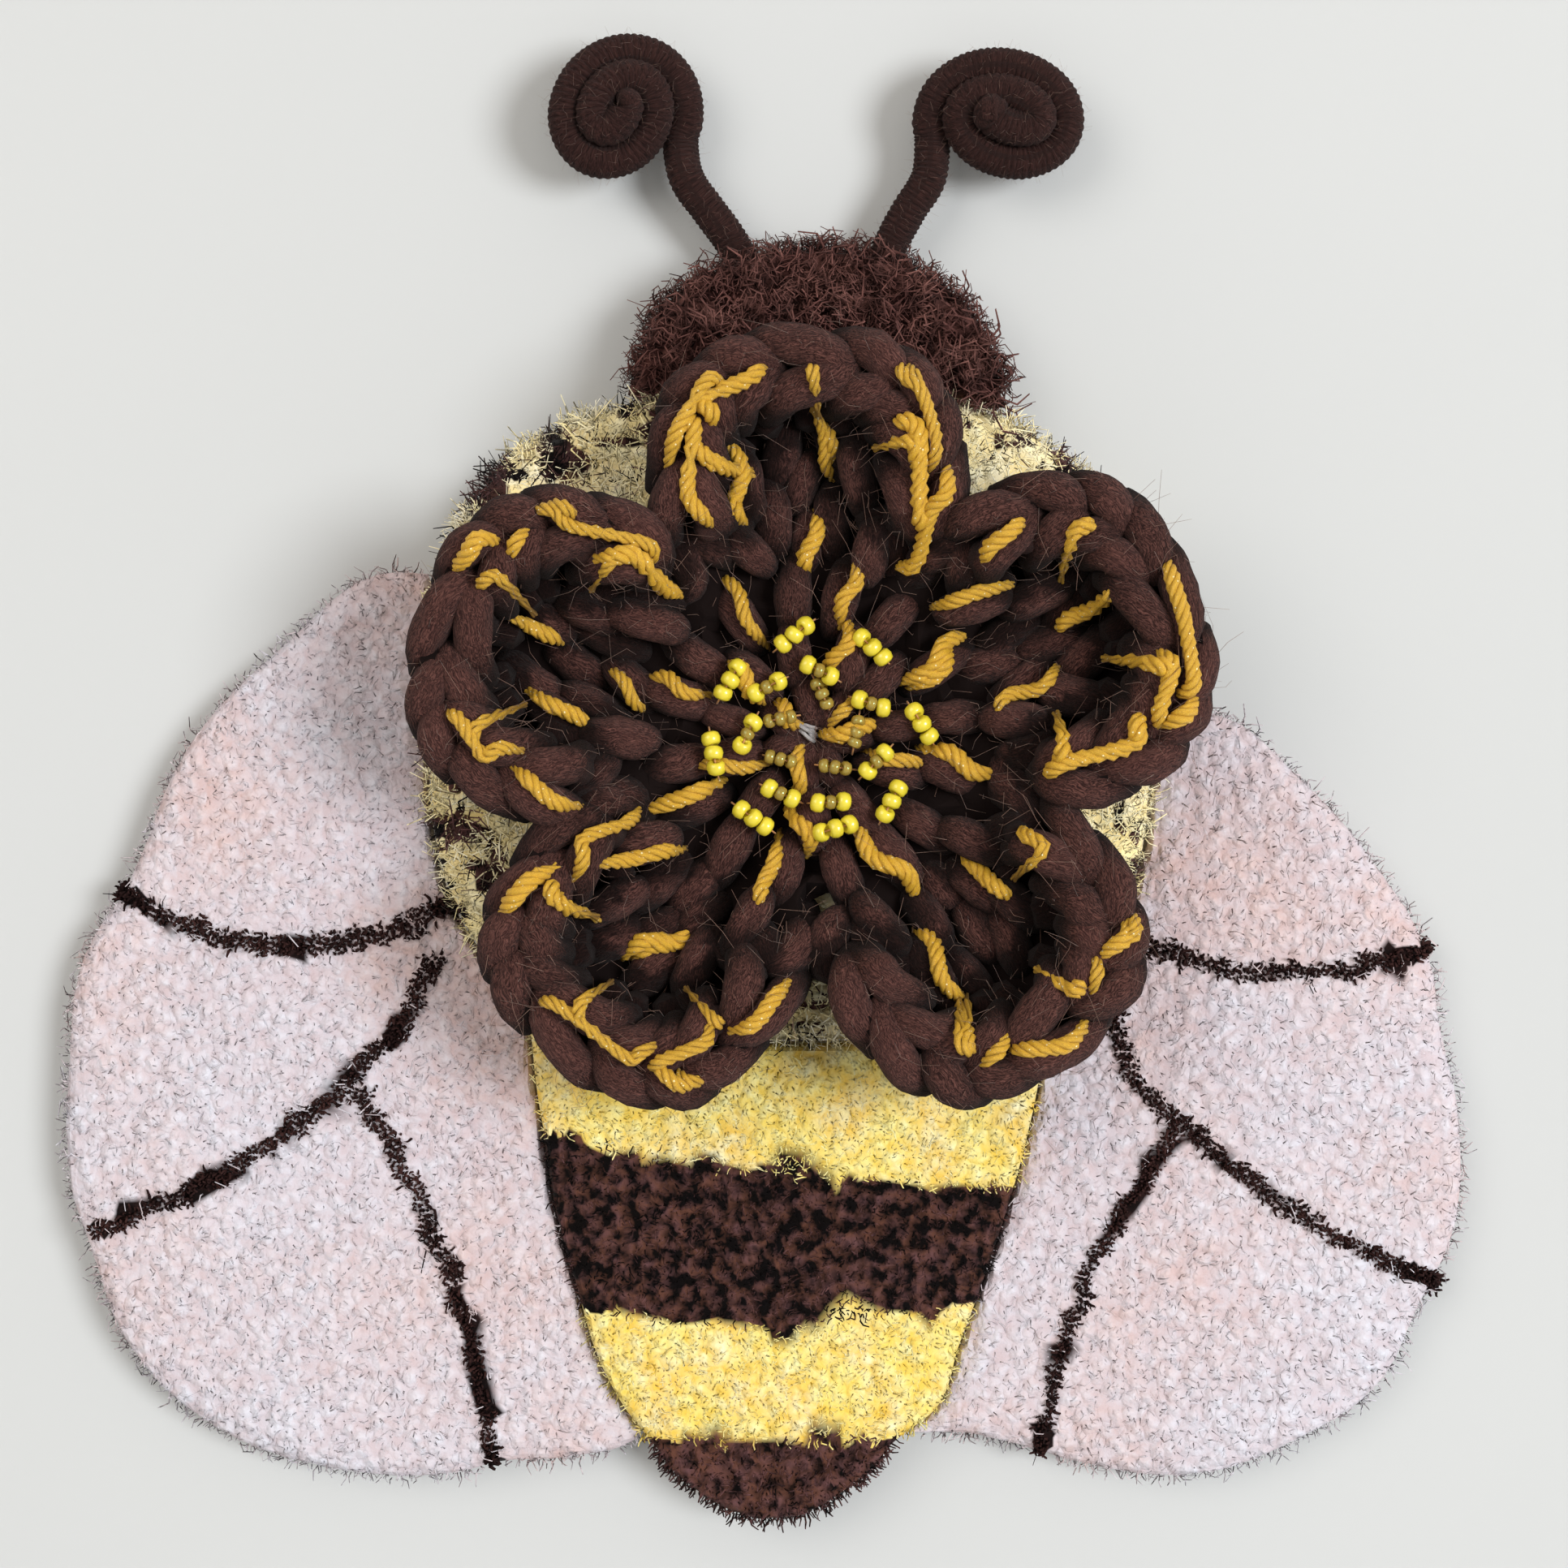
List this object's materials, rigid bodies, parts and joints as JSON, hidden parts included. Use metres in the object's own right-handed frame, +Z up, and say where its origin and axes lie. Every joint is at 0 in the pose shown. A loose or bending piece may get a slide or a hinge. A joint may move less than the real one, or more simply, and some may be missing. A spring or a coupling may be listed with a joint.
{
  "type": "textile wall hanging",
  "caption": "Bee-shaped tufted wall hanging with a crocheted flower on its thorax, pale tufted wings and wire antennae wound into spirals.",
  "frame": {"origin": "the point it hangs from, at the top of the head's back", "axes": "+Z up along the hanging body, -Y out of its front, +X to the viewer's right; the wall is the plane y = 0"},
  "size_m": [0.2365, 0.0371, 0.2484],
  "materials": {
    "brown_shag": "long tufted brown yarn",
    "cream_shag": "long tufted cream yarn with brown flecks",
    "yellow_pile": "short cut pile in yellow and brown stripes",
    "pink_pile": "short cut pile, pale pink with brown veins",
    "thick_yarn": "thick brown roving yarn worked with thin gold yarn",
    "wrapped_yarn": "fine brown yarn wrapped round wire"
  },
  "bodies": {
    "root": {"head": "brown_shag", "thorax": "cream_shag", "abdomen": "yellow_pile", "wing_left": "pink_pile", "wing_right": "pink_pile", "flower": "thick_yarn", "antenna_left": "wrapped_yarn", "antenna_right": "wrapped_yarn"}
  },
  "joints": []
}
